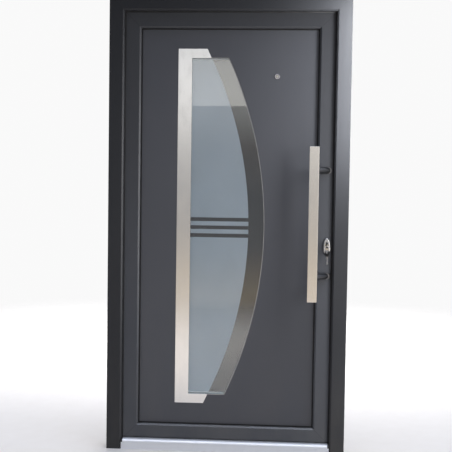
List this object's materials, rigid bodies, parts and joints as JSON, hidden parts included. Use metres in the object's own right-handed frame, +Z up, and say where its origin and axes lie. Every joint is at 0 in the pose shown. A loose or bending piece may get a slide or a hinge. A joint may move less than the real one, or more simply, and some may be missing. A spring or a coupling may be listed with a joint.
{
  "type": "entrance door with frame",
  "caption": "Inward-opening entrance door in its frame, with a flush panel, curved frosted glass, steel C trim, flat pull bar, oval lock plate and low threshold.",
  "frame": {"origin": "middle of the sill's underside, at half the frame's depth", "axes": "+Z up, +X to the right seen from outside, +Y into the house"},
  "size_m": [1.1, 0.211, 2.09],
  "materials": {
    "anthracite_foil": "laminated plastic, fine satin grain",
    "panel_foil": "laminated sheet, satin",
    "foam": "rigid foam",
    "black_rubber": "matt seal",
    "black_plastic": "moulded, matt",
    "galvanised": "zinc coated sheet",
    "mill_aluminium": "anodised satin",
    "steel_bar": "stainless, long brush lines",
    "trim_steel": "stainless sheet, long brush lines",
    "bright_steel": "polished",
    "lock_steel": "zinc plated steel",
    "nickel": "nickel plated brass, satin",
    "clear_glass": "clear float",
    "frosted_glass": "float with a frosted field"
  },
  "bodies": {
    "frame": {"door_frame": "anthracite_foil", "frame_steels": "galvanised", "frame_gasket": "black_rubber", "threshold_outer": "mill_aluminium", "threshold_core": "black_plastic", "threshold_inner": "mill_aluminium", "connector_left": "black_plastic", "connector_right": "black_plastic", "frame_hole_caps": "black_plastic", "strike_main": "lock_steel", "strike_bolts": "lock_steel", "hinge_frame_parts": "steel_bar", "hinge_pins": "bright_steel", "frame_screws": "lock_steel"},
    "lever": {"lever": "steel_bar", "lever_spindle": "lock_steel"},
    "latch": {"latch_bolt": "bright_steel"},
    "latch_hold": {"latch_hold_slide": "black_plastic"},
    "bolts": {"deadbolt": "lock_steel", "side_bolts": "lock_steel"},
    "lock_plug": {"cylinder_plug": "nickel", "key": "nickel", "key_cap": "black_plastic"},
    "ring": {"key_ring": "bright_steel"},
    "spare": {"spare_key": "nickel", "spare_key_cap": "black_plastic"},
    "cover": {"viewer_cover": "bright_steel"},
    "leaf": {"leaf_frame": "anthracite_foil", "leaf_steels": "galvanised", "leaf_gasket": "black_rubber", "panel_outer_skin": "panel_foil", "panel_core": "foam", "panel_inner_skin": "panel_foil", "glazing_gasket": "black_rubber", "bead_left": "anthracite_foil", "bead_right": "anthracite_foil", "bead_top": "anthracite_foil", "bead_bottom": "anthracite_foil", "setting_blocks": "black_plastic", "glass_outer": "clear_glass", "glass_inner": "frosted_glass", "glass_spacer": "mill_aluminium", "glass_edging": "mill_aluminium", "stainless_trim": "trim_steel", "lock_faceplate": "lock_steel", "lock_case": "galvanised", "lock_case_upper": "galvanised", "lock_case_lower": "galvanised", "cylinder_body": "nickel", "escutcheon_outer": "bright_steel", "escutcheon_inner": "steel_bar", "lever_rose": "steel_bar", "pull_bar": "steel_bar", "pull_posts": "bright_steel", "pull_studs": "lock_steel", "viewer_outer": "bright_steel", "viewer_inner": "bright_steel", "viewer_lens": "clear_glass", "hinge_leaf_parts": "steel_bar", "leaf_screws": "lock_steel"}
  },
  "joints": [
    {"name": "leaf_swing", "type": "hinge", "parent": "frame", "child": "leaf", "pos_m": [-0.5195, 0.075, 1.045], "axis": [0, 0, 1], "range_deg": [0, 100]},
    {"name": "lever_turn", "type": "hinge", "parent": "leaf", "child": "lever", "pos_m": [0.4555, 0.062, 1.059], "axis": [0, -1, 0], "range_deg": [0, 40], "stiffness_Nm_per_rad": 1.5, "springref_deg": -22.92},
    {"name": "latch_hold_slide", "type": "slide", "parent": "leaf", "child": "latch_hold", "axis": [0, 0, -1], "range_m": [0, 0.006]},
    {"name": "latch_slide", "type": "slide", "parent": "leaf", "child": "latch", "axis": [1, 0, 0], "range_m": [0, 0.012]},
    {"name": "key_turn", "type": "hinge", "parent": "leaf", "child": "lock_plug", "pos_m": [0.4555, -0.025, 0.967], "axis": [0, 1, 0], "range_deg": [0, 360]},
    {"name": "bolts_slide", "type": "slide", "parent": "leaf", "child": "bolts", "axis": [1, 0, 0], "range_m": [0, 0.02]},
    {"name": "ring_swing", "type": "hinge", "parent": "lock_plug", "child": "ring", "pos_m": [0.4555, -0.05, 0.9638], "axis": [1, 0, 0], "range_deg": [-30, 8]},
    {"name": "spare_key_swing", "type": "hinge", "parent": "ring", "child": "spare", "pos_m": [0.4555, -0.05, 0.9378], "axis": [1, 0, 0], "range_deg": [-20, 10]},
    {"name": "viewer_cover_swivel", "type": "hinge", "parent": "leaf", "child": "cover", "pos_m": [0.2165, 0.046, 1.7425], "axis": [0, 1, 0], "range_deg": [-100, 100]}
  ],
  "couplings": [
    {"joint": "latch_slide", "follows": "latch_hold_slide", "ratio": 2},
    {"joint": "key_turn", "follows": "bolts_slide", "rad_per_m": 314.16}
  ]
}
